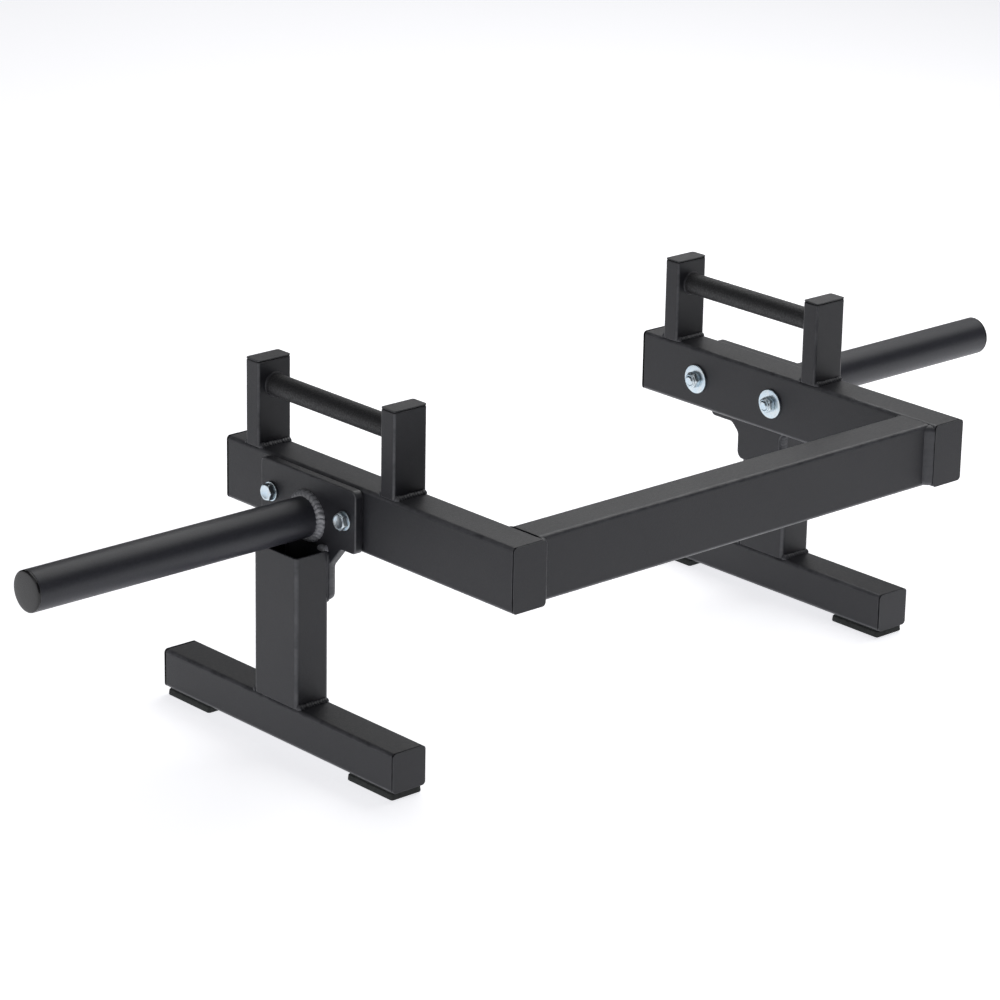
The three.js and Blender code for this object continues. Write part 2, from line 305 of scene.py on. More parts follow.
def slab(outline, edge, low, high, axis, low_round, high_round, low_neck=None, high_neck=None):
    """Plate: an outline carried through its thickness, stepping in along a quarter circle at each face.

    The step in follows the outline's own inward direction, which is its tangent turned left. A neck,
    given as its depth and width, is a square step in that leaves a seam beside the next piece; its
    edge mark is -1, which has the powder coat paint the seam black as painted shade.
    """
    tangent = np.roll(outline, -1, 0) - np.roll(outline, 1, 0)
    tangent /= np.linalg.norm(tangent, axis=1)[:, None]
    inward = np.stack([-tangent[:, 1], tangent[:, 0]], -1)
    guard = GUARD / 4 if low_neck or high_neck else GUARD

    def face(radius, neck):
        """Step in, height above the face and edge mark of each row, from the face outwards."""
        depth, width = neck or (0, 0)
        root = 2 if neck else 0
        inset = radius * (1 - np.sin(QUARTER))
        rise = width + radius * (1 - np.cos(QUARTER))
        return (
            np.concatenate([[depth] * root, [radius + 2 * guard], inset, [0]]),
            np.concatenate([[0, width][:root], [width], rise, [width + radius + guard]]),
            np.concatenate([[-1] * root, [-root / 2], np.sin(2 * QUARTER), [0]]),
        )

    low_step, low_rise, low_edge = face(low_round, low_neck)
    high_step, high_rise, high_edge = face(high_round, high_neck)
    step = np.concatenate([low_step, high_step[::-1]])
    along = np.concatenate([low + low_rise, high - high_rise[::-1]])
    rims = np.concatenate([low_edge, high_edge[::-1]])[:, None]
    marks = np.where(rims < 0, rims, np.maximum(rims, edge[None] * (step < low_round)[:, None]))
    section = outline[None] + step[:, None, None] * inward[None]
    return skin(stood(section, along, axis), edge=marks)


def turned_skin(profile, centre, axis, count=96, wrap=False):
    """Solid of revolution: a (radius, place along the axis) profile carried round a circle."""
    profile = np.asarray(profile)
    section = centre + profile[:, 0, None, None] * circle(1.0, count)[None]
    return skin(stood(section, profile[:, 1], axis), wrap=wrap)


def arc(centre, radius, start, end, steps=6):
    """Points of a circular arc between two angles in degrees, ends included."""
    angle = np.radians(np.linspace(start, end, steps + 1))
    return np.asarray(centre) + radius * np.stack([np.cos(angle), np.sin(angle)], -1)


def drill(piece, holes, radius, start, end):
    """Bores round holes along X through a piece, at (y, z) centres, from start to end."""
    cutters = []
    for centre in holes:
        cutter = make_object("drill", [turned_skin([(radius, start), (radius, end)], centre, X, 48)])
        cut = piece.modifiers.new("Bore", "BOOLEAN")
        cut.operation = "DIFFERENCE"
        cut.solver = "EXACT"
        cut.object = cutter
        cutters.append(cutter)
    bored = piece.evaluated_get(bpy.context.evaluated_depsgraph_get())
    mesh = bpy.data.meshes.new_from_object(bored)
    mesh.shade_smooth()
    mesh.set_sharp_from_angle(angle=math.radians(SHARP))
    piece.modifiers.clear()
    piece.data = mesh
    for cutter in cutters:
        bpy.data.objects.remove(cutter)


def wander(along, rng, wavelength):
    """Smooth random wave, about -1 to 1: sines of the wavelength, its half and its third, summed."""
    phase = rng.uniform(0, 2 * math.pi, 3)
    waves = [np.sin(2 * math.pi * along * k / wavelength + phase[k - 1]) / k for k in (1, 2, 3)]
    return sum(waves) / 1.6


def bead(
    corner, along_first, along_second, size, ripple, rng, closed=False, blob=0.0, relief=1.0, flat=1.0
):
    """Fillet weld: a bulging quarter section carried along a corner line and rippled.

    Point = corner + size * swell * (first direction * cos t + second direction * sin t), sunk a little
    into both faces. The cosine and sine are raised to the power flat, which at 2 makes the section
    straight. The swell is a slow random wave times overlapped half-moon ripples, whose phase lags
    towards both toes; relief is how strong they are. An open weld tapers to a round at its ends, and
    blob is how much it swells at its start.
    """
    step = np.linalg.norm(np.diff(corner, axis=0), axis=1)
    travel = np.concatenate([[0], np.cumsum(step)])
    total = travel[-1] + (np.linalg.norm(corner[0] - corner[-1]) if closed else 0)
    pitch = total / max(round(total / ripple), 1)
    slow = wander(travel, rng, total / 2) if closed else wander(travel, rng, 0.021)
    jitter = wander(travel, rng, total / 5 if closed else 0.009) * 0.16
    t = np.linspace(0, math.pi / 2, 9)
    lag = 0.42 * np.cos(2 * t) ** 2
    phase = (travel[:, None] / pitch + jitter[:, None] - lag[None]) % 1.0
    ridge = 1 - np.abs(2 * phase**0.7 - 1) ** 1.8
    swell = (1 + 0.07 * relief**0.5 * slow[:, None]) * (1 - relief * (0.10 - 0.15 * ridge))
    if not closed:
        reach = np.minimum(travel, travel[-1] - travel) / (0.8 * size)
        taper = np.sqrt(1 - (1 - np.clip(reach, 0, 1)) ** 2)
        start = np.exp(-(((travel - size) / (0.9 * size)) ** 2))
        swell = swell * ((0.12 + 0.88 * taper) * (1 + blob * start))[:, None]
    directions = np.broadcast_to(along_first, corner.shape), np.broadcast_to(along_second, corner.shape)
    bulge = [
        part[:, None] * curve[None, :, None]
        for part, curve in zip(directions, (np.cos(t) ** flat, np.sin(t) ** flat))
    ]
    sunk = corner - 0.0003 * (directions[0] + directions[1])
    surface = sunk[:, None] + size * swell[..., None] * (bulge[0] + bulge[1])
    root = (sunk - 0.0002 * (directions[0] + directions[1]))[:, None]
    # An edge mark of 0.35 paints a bead paler in the powder coat: thin coat and painted highlight.
    return skin(np.concatenate([surface, root], 1), wrap=closed, edge=0.35)


def straight(start, end, spacing=0.00055):
    """Points from start to end, evenly spaced."""
    start, end = np.array(start, float), np.array(end, float)
    count = max(int(np.linalg.norm(end - start) / spacing), 8)
    return start + (end - start) * np.linspace(0, 1, count)[:, None]


def weld_ring(centre, radius, axis, outward, size, ripple, rng):
    """Fillet weld round a tube that stands on a face: toes run outwards on the face and along the tube."""
    count = int(2 * math.pi * radius / 0.0006)
    across = [i for i in range(3) if i != axis]
    spoke = np.zeros((count, 3))
    spoke[:, across] = circle(1.0, count)
    along = np.zeros(3)
    along[axis] = outward
    return bead(np.asarray(centre) + radius * spoke, spoke, along, size, ripple, rng, closed=True)


def hexagon_reach(angle, flats):
    """Distance from the middle of a hexagon to its side, corners just rounded.

    Half the flats over the 44-norm of the six direction cosines, negative ones left out.
    """
    turns = np.arange(6) * math.pi / 3
    cosines = np.maximum(np.cos(angle[..., None] - turns), 0)
    return flats / 2 / np.sum(cosines**44, -1) ** (1 / 44)


# ---------------------------------------------------------------------------------------------
# Finishes
# ---------------------------------------------------------------------------------------------


class Level:
    """A number that varies over a surface. Arithmetic on it adds the Math nodes that work it out."""

    def __init__(self, builder, socket):
        self.builder = builder
        self.socket = socket

    def _math(self, operation, first, second):
        return self.builder.node("ShaderNodeMath", {"operation": operation}, {0: first, 1: second})

    def __add__(self, other):
        return self._math("ADD", self, other)

    def __sub__(self, other):
        return self._math("SUBTRACT", self, other)

    def __rsub__(self, other):
        return self._math("SUBTRACT", other, self)

    def __mul__(self, other):
        return self._math("MULTIPLY", self, other)

    __radd__ = __add__
    __rmul__ = __mul__


class NodeBuilder:
    """Adds nodes to one node tree."""

    def __init__(self, tree):
        self.tree = tree

    def node(self, kind, settings=None, inputs=None, output=0):
        """Adds a node, sets it up, feeds its sockets, and gives one of its outputs."""
        made = self.tree.nodes.new(kind)
        for key, value in (settings or {}).items():
            setattr(made, key, value)
        for key, value in (inputs or {}).items():
            if isinstance(value, Level):
                self.tree.links.new(value.socket, made.inputs[key])
            else:
                made.inputs[key].default_value = value
        return Level(self, made.outputs[output])

    def ramp(self, level, low, high):
        """Level stretched so that low becomes 0 and high becomes 1, held there beyond them."""
        inputs = {"Value": level, "From Min": low, "From Max": high}
        return self.node("ShaderNodeMapRange", {"clamp": True}, inputs)


class Finish(NodeBuilder):
    """A material under construction: one surface shader and the nodes that feed it."""

    def __init__(self, name):
        self.material = bpy.data.materials.new(name)
        self.material.use_nodes = True
        super().__init__(self.material.node_tree)
        self.tree.nodes.clear()
        self.place = self.node("ShaderNodeTexCoord", output="Object")
        self.edge = self.node("ShaderNodeAttribute", {"attribute_name": "edge"}, output="Fac")

    def noise(self, scale, detail, roughness, place=None):
        inputs = {"Vector": place or self.place, "Scale": scale, "Detail": detail, "Roughness": roughness}
        return self.node("ShaderNodeTexNoise", None, inputs, "Fac")

    def stretched(self, scale):
        """Object coordinates scaled by a different amount along each axis."""
        return self.node("ShaderNodeMapping", None, {"Vector": self.place, "Scale": scale})

    def mix(self, share, first, second, how="MIX"):
        """Mixes two colours."""
        first, second = ((*c, 1) if isinstance(c, tuple) else c for c in (first, second))
        settings = {"data_type": "RGBA", "blend_type": how}
        return self.node("ShaderNodeMix", settings, {0: share, 6: first, 7: second}, 2)

    def shaded(self, base, level):
        """A colour darkened and lightened by a grey level about 1."""
        grey = self.node("ShaderNodeCombineColor", None, {0: level, 1: level, 2: level})
        return self.mix(1.0, base, grey, "MULTIPLY")

    def bump(self, height, distance, strength=1.0, under=None):
        inputs = {"Height": height, "Distance": distance, "Strength": strength}
        if under is not None:
            inputs["Normal"] = under
        return self.node("ShaderNodeBump", None, inputs)

    def done(self, **inputs):
        """Ends the material in one surface shader with these sockets set or fed."""
        named = {key.replace("_", " "): value for key, value in inputs.items()}
        shader = self.node("ShaderNodeBsdfPrincipled", None, named)
        output = self.tree.nodes.new("ShaderNodeOutputMaterial")
        self.tree.links.new(shader.socket, output.inputs["Surface"])
        return self.material


def powder_finish(name, base, worn_and_highlight, gloss=0.46):
    """Powder coat: fine orange peel, clouding, mottling and flecks.

    The film is thinner, paler and shinier where the edge mark is above 0, and that paleness is also a
    painted highlight along the rounded edges. In a seam, where the mark is below 0, it is painted black
    and matt as the seam's shade.
    """
    f = Finish(name)
    peel_height = f.noise(620, 3, 0.55)
    grain = f.noise(2600, 2, 0.6)
    cloud = f.noise(9, 4, 0.6)
    mottle = f.noise(270, 3, 0.6)
    fleck = f.ramp(f.noise(1500, 1, 0.5), 0.64, 0.78)
    # Painted highlight: the edge mark lightens the coat along rounded edges, together with the thin coat
    # there.
    thin_coat_and_highlight = f.ramp(f.edge, 0.0, 1.0) * f.ramp(f.noise(60, 3, 0.6), 0.05, 0.60)
    # Painted shade: where the edge mark is below 0, in a seam, the coat is painted black and made rough.
    painted_seam_shade = f.ramp(f.edge, -0.1, -0.8)
    tone = 0.58 + 0.20 * cloud + 0.12 * peel_height + 0.60 * mottle
    colour_here = f.mix(0.8 * thin_coat_and_highlight, f.shaded(base, tone), worn_and_highlight)
    colour_here = f.mix(painted_seam_shade, f.mix(0.22 * fleck, colour_here, worn_and_highlight), SEAM_SHADE_BLACK)
    rough = gloss + 0.10 * (cloud - 0.5) + 0.16 * (grain - 0.5) + 0.22 * (mottle - 0.5)
    rough = rough - 0.14 * thin_coat_and_highlight + 0.5 * painted_seam_shade
    low = f.bump(peel_height, 0.00022, 0.8)
    return f.done(
        Base_Color=colour_here, Roughness=rough, Normal=f.bump(grain, 0.00006, 0.7, low),
        Specular_IOR_Level=0.44,
    )


def weld_finish(name, base, worn_and_highlight, rough, sheen):
    """Powder coat over a weld: paler and duller in patches, pitted and finely grained.

    Rough is the coat's lowest roughness, and sheen its specular level. Its base colours are lighter than
    the powder coat, and its paler patches are painted highlight, standing in for the sheen of a glossy
    bead.
    """
    f = Finish(name)
    cloud = f.noise(70, 3, 0.6)
    pits = f.node("ShaderNodeTexVoronoi", None, {"Vector": f.place, "Scale": 900.0}, "Distance")
    skin_height = f.noise(900, 3, 0.6)
    tone = 0.85 + 0.35 * cloud
    colour_here = f.mix(0.18 + 0.35 * cloud, f.shaded(base, tone), worn_and_highlight)
    low = f.bump(skin_height, 0.00035, 0.8)
    return f.done(
        Base_Color=colour_here, Roughness=rough + 0.14 * cloud, Normal=f.bump(pits, 0.0001, 0.5, low),
        Specular_IOR_Level=sheen,
    )


def grip_finish(name, base, worn_and_highlight):
    """Coarse wrinkle coat: rounded pebbles packed close, dark between, over a fine grain."""
    f = Finish(name)
    cells = {"Vector": f.place, "Scale": 520.0}
    pebble = f.node("ShaderNodeTexVoronoi", {"feature": "SMOOTH_F1"}, cells, "Distance")
    lump = 1 - f.ramp(pebble, 0.1, 0.75)
    wrinkle = f.noise(380, 4, 0.62)
    grain = f.noise(2400, 2, 0.6)
    height = 0.6 * lump + 0.5 * wrinkle
    tone = 0.62 + 0.42 * lump + 0.32 * wrinkle
    colour_here = f.mix(0.16 * f.ramp(height, 0.62, 0.95), f.shaded(base, tone), worn_and_highlight)
    low = f.bump(height, 0.00045, 0.9)
    return f.done(
        Base_Color=colour_here, Roughness=0.40 + 0.22 * (1 - lump) + 0.1 * grain,
        Normal=f.bump(grain, 0.00008, 0.6, low), Specular_IOR_Level=0.5,
    )


def plastic_finish(name, base):
    """Moulded gloss plastic: faint flow clouding, hairline scuffs and a few dust specks."""
    f = Finish(name)
    flow = f.noise(60, 3, 0.5)
    scuff = f.ramp(f.noise(240, 5, 0.7, f.stretched((1.0, 0.25, 3.0))), 0.60, 0.72)
    dust = f.ramp(f.noise(1900, 1, 0.4), 0.72, 0.80)
    colour_here = f.mix(0.25 * dust, f.shaded(base, 0.85 + 0.3 * flow), (0.12, 0.12, 0.12))
    rough = 0.17 + 0.08 * flow + 0.16 * scuff + 0.2 * dust
    normal = f.bump(flow, 0.0004, 0.35)
    return f.done(Base_Color=colour_here, Roughness=rough, Normal=f.bump(scuff, 0.00002, 0.5, normal))


def rubber_finish(name, base):
    """Moulded rubber: matt, finely pored, a little dusty and paler where it has rubbed."""
    f = Finish(name)
    pore = f.noise(1400, 3, 0.65)
    cloud = f.noise(45, 4, 0.6)
    rub = f.edge * f.ramp(f.noise(150, 3, 0.6), 0.35, 0.75)
    tone = 0.8 + 0.3 * cloud + 0.2 * pore
    colour_here = f.mix(0.4 * rub, f.shaded(base, tone), (0.11, 0.115, 0.11))
    return f.done(
        Base_Color=colour_here, Roughness=0.70 + 0.18 * pore, Normal=f.bump(pore, 0.00018, 0.8),
        Specular_IOR_Level=0.3,
    )


def zinc_finish(name, base):
    """Bright zinc plating: bluish passivation tint, fine tumbled scratches and slightly dulled patches."""
    f = Finish(name)
    tint = f.noise(110, 3, 0.6)
    blotch = f.noise(420, 4, 0.65)
    scratch = f.noise(1500, 3, 0.7, f.stretched((0.5, 2.2, 1.0)))
    cool = f.mix(f.ramp(tint, 0.35, 0.65), base, tuple(c * s for c, s in zip(base, (0.86, 0.97, 1.06))))
    colour_here = f.shaded(cool, 0.80 + 0.34 * blotch)
    rough = 0.20 + 0.20 * blotch + 0.08 * scratch
    return f.done(
        Base_Color=colour_here, Metallic=1.0, Roughness=rough, Normal=f.bump(scratch, 0.00003, 0.6),
    )


def floor_finish(name, base):
    """Pale studio floor: matt, almost even, and softly lit from within so that it stays bright far off."""
    f = Finish(name)
    cloud = f.noise(1.2, 3, 0.5)
    fine = f.noise(400, 2, 0.6)
    return f.done(
        Base_Color=f.shaded(base, 0.985 + 0.02 * cloud), Roughness=0.88 + 0.05 * cloud,
        Normal=f.bump(fine, 0.0001, 0.1), Emission_Color=(0.965, 0.968, 1.0, 1), Emission_Strength=0.78,
        Specular_IOR_Level=0.1,
    )


def times(base, share):
    """A colour with each channel multiplied."""
    return tuple(share * channel for channel in base)


def finishes():
    """Every finish by name, made once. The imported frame's plain materials already hold the bare names."""
    shades = bpy.context.scene.bars_colours
    powder, worn_and_highlight = tuple(shades.powder), tuple(shades.powder_worn_and_highlight)
    # Painted highlight: the pegs' and the welds' colours are lighter copies of the powder coat.
    peg, weld = times(powder, 1.8), times(powder, 1.6)
    # Painted highlight: bright is a pale weld base and glint its much paler patches, standing in for glints
    # on glossy beads.
    bright, glint = times(worn_and_highlight, 1.3), times(worn_and_highlight, 4)
    makers = {
        "powder_coat": lambda name: powder_finish(name, powder, worn_and_highlight),
        "peg_coat": lambda name: powder_finish(name, peg, worn_and_highlight, gloss=0.42),
        # Both weld coats are painted lighter than the powder coat as highlight.
        "weld_coat": lambda name: weld_finish(name, weld, worn_and_highlight, 0.34, 0.5),
        "bright_weld_coat": lambda name: weld_finish(name, bright, glint, 0.08, 1.0),
        "grip_coat": lambda name: grip_finish(name, tuple(shades.grip), worn_and_highlight),
        "end_cap_plastic": lambda name: plastic_finish(name, tuple(shades.plastic)),
        "foot_rubber": lambda name: rubber_finish(name, tuple(shades.rubber)),
        "zinc_steel": lambda name: zinc_finish(name, tuple(shades.zinc)),
        "studio_floor": lambda name: floor_finish(name, tuple(shades.floor)),
    }
    made = {}
    for name, make in makers.items():
        own_name = f"{name}_finish"
        made[name] = bpy.data.materials.get(own_name) or make(own_name)
    return made


# ---------------------------------------------------------------------------------------------
# Pieces
# ---------------------------------------------------------------------------------------------


class MakeBars(bpy.types.Operator):
    """Base of the operators below: reads the sizes and finishes, then calls the maker's own make()."""

    bl_options = {"REGISTER", "UNDO"}

    def execute(self, context):
        self.sizes = context.scene.bars_sizes
        self.finishes = finishes()
        self.make()
        return {"FINISHED"}

    def add(self, name, skins, finish="powder_coat", nodes=None, slot=None):
        """Adds a piece that stands for the node of its own name, or for the given ones."""
        made = make_object(name, skins)
        return settle(made, self.finishes[finish], slot or finish, *([name] if nodes is None else nodes))

    def add_weld(self, name, skins, finish="weld_coat"):
        return self.add(name, skins, finish, nodes=[], slot="powder_coat")


def bolt_places(label):
    """(y, z) centres of one side's two bolts."""
    found = []
    for end, _ in ENDS:
        low, high = corners(f"{label}_{end}_head_washer")
        found.append(((low + high) / 2)[[Y, Z]])
    return found


def beyond(node, side):
    """X of a node's face that is furthest from the middle of the object, and of its opposite face."""
    low, high = corners(node)
    return (high[X], low[X]) if side > 0 else (low[X], high[X])


class BARS_OT_rails(MakeBars):
    """Side rails with their drilled bolt holes, and the crossbar between them"""

    bl_idname = "bars.rails"
    bl_label = "Rails and crossbar"

    def make(self):
        s = self.sizes
        for label, _ in SIDES:
            node = f"{label}_rail"
            rail = self.add(node, [box_tube(node, Y, s.tube_wall, s.tube_corner, s.cut_edge)])
            low, high = corners(node)
            drill(rail, bolt_places(label), s.hole_radius, low[X] - BORE_MARGIN, high[X] + BORE_MARGIN)
        self.add("crossbar", [box_tube("crossbar", X, s.tube_wall, s.tube_corner, s.cut_edge * 0.6)])


class BARS_OT_tube_caps(MakeBars):
    """Welded plates that close the rail and foot tubes"""

    bl_idname = "bars.tube_caps"
    bl_label = "Rail and foot caps"

    def make(self):
        s = self.sizes
        for label, _ in SIDES:
            for tube in ("rail", "foot"):
                for end, direction in ENDS:
                    node = f"{label}_{tube}_{end}_cap"
                    low, high = corners(node)
                    size = high - low
                    outline, edge = rounded_rectangle(size[X], size[Z], s.tube_corner)
                    outline = outline + ((low + high) / 2)[[X, Z]]
                    # The seam's edge mark of -1 has the powder coat paint it black as painted shade.
                    seam = (s.seam_depth, s.seam_width)
                    facing = (s.cap_edge * 0.8, s.cap_edge * 0.15, None, seam)
                    if direction > 0:
                        facing = (s.cap_edge * 0.15, s.cap_edge * 0.8, seam, None)
                    self.add(node, [slab(outline, edge, low[Y], high[Y], Y, *facing)])


class BARS_OT_posts(MakeBars):
    """Flat posts that carry the grips, and the plates that close them"""

    bl_idname = "bars.posts"
    bl_label = "Posts and post caps"

    def make(self):
        s = self.sizes
        for label, _ in SIDES:
            for end, _ in ENDS:
                node = f"{label}_{end}_post"
                self.add(node, [box_tube(node, Z, s.post_wall, s.post_corner, s.cut_edge * 0.8)])
                low, high = corners(node + "_cap")
                size = high - low
                outline, edge = rounded_rectangle(size[X], size[Y], s.post_corner)
                outline = outline + ((low + high) / 2)[[X, Y]]
                # The seam's edge mark of -1 has the powder coat paint it black as painted shade.
                seam = (s.seam_depth * 0.4, s.seam_width * 0.6)
                cap = slab(outline, edge, low[Z], high[Z], Z, s.cap_edge * 0.4, s.cap_edge, low_neck=seam)
                self.add(node + "_cap", [cap])


class BARS_OT_grips(MakeBars):
    """Round grips between the posts"""

    bl_idname = "bars.grips"
    bl_label = "Grips"

    def make(self):
        for label, _ in SIDES:
            node = f"{label}_grip"
            tube = round_tube(node, Y, self.sizes.grip_wall, self.sizes.cut_edge * 0.5)
            self.add(node, [tube], "grip_coat")


class BARS_OT_bracket_plates(MakeBars):
    """Thick plates bolted to the rails: wide above, a narrow tab behind the leg below"""

    bl_idname = "bars.bracket_plates"
    bl_label = "Bracket plates"

    def make(self):
        s = self.sizes
        for label, _ in SIDES:
            node = f"{label}_bracket_plate"
            low, high = corners(node)
            half, middle = (high[Y] - low[Y]) / 2, (high[Y] + low[Y]) / 2
            leg_low, leg_high = corners(f"{label}_leg")
            tab = (leg_high[Y] - leg_low[Y]) / 2 - TAB_INSET
            rear_shape = s.rear_shoulder, s.rear_slope_across, s.rear_slope_down
            front_shape = s.front_shoulder, s.front_slope_across, s.front_slope_down
            rear = self.end(low[Z], high[Z], half, tab, *rear_shape)
            front = self.end(low[Z], high[Z], half, tab, *front_shape) * [-1, 1]
            points = np.concatenate([rear, front[::-1]])
            outline, edge = rounded_polygon(points, PLATE_CUTS + PLATE_CUTS[::-1])
            outline = outline + [middle, 0]
            plate = self.add(node, [slab(outline, edge, low[X], high[X], X, s.plate_edge, s.plate_edge)])
            drill(plate, bolt_places(label), s.hole_radius, low[X] - BORE_MARGIN, high[X] + BORE_MARGIN)

    def end(self, bottom, top, half, tab, shoulder, across, down):
        """Corners of one end of the plate, from the tab's foot up its slope and shoulder to the top."""
        level = bottom + shoulder
        slope = [(tab, level - down), (tab + across, level)]
        return np.array([(tab, bottom), *slope, (half, level), (half, top)])


class BARS_OT_pegs(MakeBars):
    """Round pegs that carry weight plates"""

    bl_idname = "bars.pegs"
    bl_label = "Pegs"

    def make(self):
        for label, _ in SIDES:
            node = f"{label}_peg"
            tube = round_tube(node, X, self.sizes.grip_wall, self.sizes.cut_edge, 128)
            # The pegs take a lighter copy of the powder coat, a painted highlight.
            self.add(node, [tube], "peg_coat", slot="powder_coat")


class BARS_OT_peg_caps(MakeBars):
    """Domed plugs that close the pegs"""

    bl_idname = "bars.peg_caps"
    bl_label = "Peg caps"

    def make(self):
        for label, side in SIDES:
            node = f"{label}_peg_cap"
            low, high = corners(node)
            centre = ((low + high) / 2)[[Y, Z]]
            radius = (high[Z] - low[Z]) / 2
            tip, back = beyond(node, side)
            seat, _ = beyond(f"{label}_peg", side)
            bore = radius - self.sizes.grip_wall - 0.0003
            depth, dome = abs(seat - back), abs(tip - seat)
            rim = 0.0017
            ribs = np.linspace(0, 1, 33)
            notch = 0.0006 * (np.cos(6 * math.pi * ribs) * 0.5 + 0.5)
            stem = np.stack([bore - notch, ribs * depth - depth], -1)
            stem[0, 0] = bore - 0.0012
            top = dome - 0.0011
            slope = np.linspace(0, 1, 14)[1:] * math.pi / 2
            flat = radius - rim
            crown = np.stack([flat * np.cos(slope), top + 0.0011 * np.sin(slope)], -1)
            crown[-1, 0] = 0.0004
            profile = np.concatenate([
                [(0.004, -depth)], stem, [(radius - 0.0010, 0.0), (radius - 0.0004, 0.00015)],
                [(radius, 0.0007)], arc((radius - rim, top - rim), rim, 0, 82, 7), crown,
            ])
            profile[:, 1] = seat + side * profile[:, 1]
            self.add(node, [turned_skin(profile, centre, X, 128)], "end_cap_plastic")


class BARS_OT_legs(MakeBars):
    """Legs, left open at the top, and the feet that they stand on"""

    bl_idname = "bars.legs"
    bl_label = "Legs and feet"

    def make(self):
        s = self.sizes
        for label, _ in SIDES:
            for node, axis in ((f"{label}_leg", Z), (f"{label}_foot", Y)):
                self.add(node, [box_tube(node, axis, s.tube_wall, s.tube_corner, s.cut_edge)])


class BARS_OT_pads(MakeBars):
    """Rubber pads under the feet"""

    bl_idname = "bars.pads"
    bl_label = "Foot pads"

    def make(self):
        for label, _ in SIDES:
            for end, _ in ENDS:
                node = f"{label}_{end}_pad"
                low, high = corners(node)
                width, depth, height = high - low
                centre = ((low + high) / 2)[[X, Y]]
                # Step in and height of each row: sole, rounded foot, drafted side, neck below the tube.
                sole = [(0.0034, 0.0007), (0.0026, 0.0)]
                foot = arc((0.0014, 0.0014), 0.0014, 270, 180, 6)
                side = [(0.0, 0.0022), (0.0004, height - 0.0030)]
                neck = [(0.0009, height - 0.0022), (0.0019, height - 0.0017), (0.0019, height)]
                rows = np.concatenate([sole, foot, side, neck, [(0.0026, height)]])
                section, edges = [], []
                for step, _ in rows:
                    inside = width - 2 * step, depth - 2 * step
                    outline, edge = rounded_rectangle(*inside, 0.0034 - step * 0.5)
                    section.append(outline + centre)
                    edges.append(np.maximum(edge * 0.5, float(0.00005 < step < 0.0014)))
                grid = stood(np.array(section), low[Z] + rows[:, 1], Z)
                self.add(node, [skin(grid, edge=np.array(edges))], "foot_rubber")


class BARS_OT_washers(MakeBars):
    """Washers under the bolt heads and the wide ones under the nuts"""

    bl_idname = "bars.washers"
    bl_label = "Washers"

    def make(self):
        for label, _ in SIDES:
            for end, _ in ENDS:
                for kind in ("head", "nut"):
                    node = f"{label}_{end}_{kind}_washer"
                    low, high = corners(node)
                    centre = ((low + high) / 2)[[Y, Z]]
                    outer, bore = (high[Z] - low[Z]) / 2, self.sizes.hole_radius
                    soft = 0.0006
                    profile = np.concatenate([
                        arc((outer - soft, high[X] - soft), soft, 90, 0, 4),
                        arc((outer - soft, low[X] + soft), soft, 0, -90, 4),
                        arc((bore + soft, low[X] + soft), soft, 270, 180, 4),
                        arc((bore + soft, high[X] - soft), soft, 180, 90, 4),
                    ])
                    self.add(node, [turned_skin(profile, centre, X, 72, wrap=True)], "zinc_steel")


class BARS_OT_bolts(MakeBars):
    """Hexagon-head bolts with chamfered heads and a real helical thread"""

    bl_idname = "bars.bolts"
    bl_label = "Bolts"

    def make(self):
        s = self.sizes
        count = 96
        angle = np.arange(count) * 2 * math.pi / count
        for label, side in SIDES:
            for spot, (end, _) in enumerate(ENDS):
                node = f"{label}_{end}_bolt"
                low, high = corners(node)
                head, tip = beyond(node, side)
                centre = ((low + high) / 2)[[Y, Z]]
                base = beyond(f"{label}_{end}_head_washer", side)[0]
                height = abs(head - base)
                reach = hexagon_reach(angle + (0.21, 0.62, 0.48, 0.1)[spot + (side > 0) * 2], s.head_flats)
                chamfer = CHAMFER_SHARE * s.head_flats
                crest = height - np.maximum(reach - chamfer, 0) * math.tan(CHAMFER_ANGLE)
                flat = np.full(count, 1.0)
                rows = [
                    (0.90 * s.head_flats / 2 * flat, 0.0 * flat),
                    (0.96 * reach, 0.0 * flat),
                    (reach, 0.0004 * flat),
                    (reach, crest - 0.0004),
                    (reach - 0.0002, crest),
                    (chamfer * flat, height * flat),
                    ((chamfer - 0.0005) * flat, height * flat),
                    (0.80 * chamfer * flat, height * flat),
                    (0.74 * chamfer * flat, (height - 0.0003) * flat),
                    (0.0006 * flat, (height - 0.0003) * flat),
                ]
                radius = np.array([row[0] for row in rows])
                rise = np.array([row[1] for row in rows])
                section = centre + radius[..., None] * circle(1.0, count)[None]
                head_skin = skin(stood(section, base + side * rise, X))
                self.add(node, [head_skin, self.shank(base, tip, side, centre)], "zinc_steel")

    def shank(self, base, tip, side, centre):
        """Shank: plain, then threaded. The radius drops by a triangle wave of (place / pitch - turn)."""
        s = self.sizes
        total = abs(tip - base)
        plain = total - THREAD_LENGTH
        count = 48
        threaded = np.arange(plain, total, s.thread_pitch / 7)
        place = np.concatenate([[-0.0005, 0.0, plain - 0.001], threaded])
        place = np.append(place[place < total - 0.0002], total)
        turn = np.arange(count) / count
        wave = np.abs(((place[:, None] / s.thread_pitch - side * turn) % 1.0) * 2 - 1)
        shape = np.clip((wave - 0.12) / 0.76, 0, 1)
        fade = np.clip((place - plain) / 0.002, 0, 1)[:, None]
        radius = BOLT_RADIUS - s.thread_depth * shape * fade
        point = np.clip((place - (total - POINT)) / POINT, 0, 1)[:, None]
        radius = np.minimum(radius, BOLT_RADIUS - POINT * point)
        section = centre + radius[..., None] * circle(1.0, count)[None]
        return skin(stood(section, base - side * place, X))


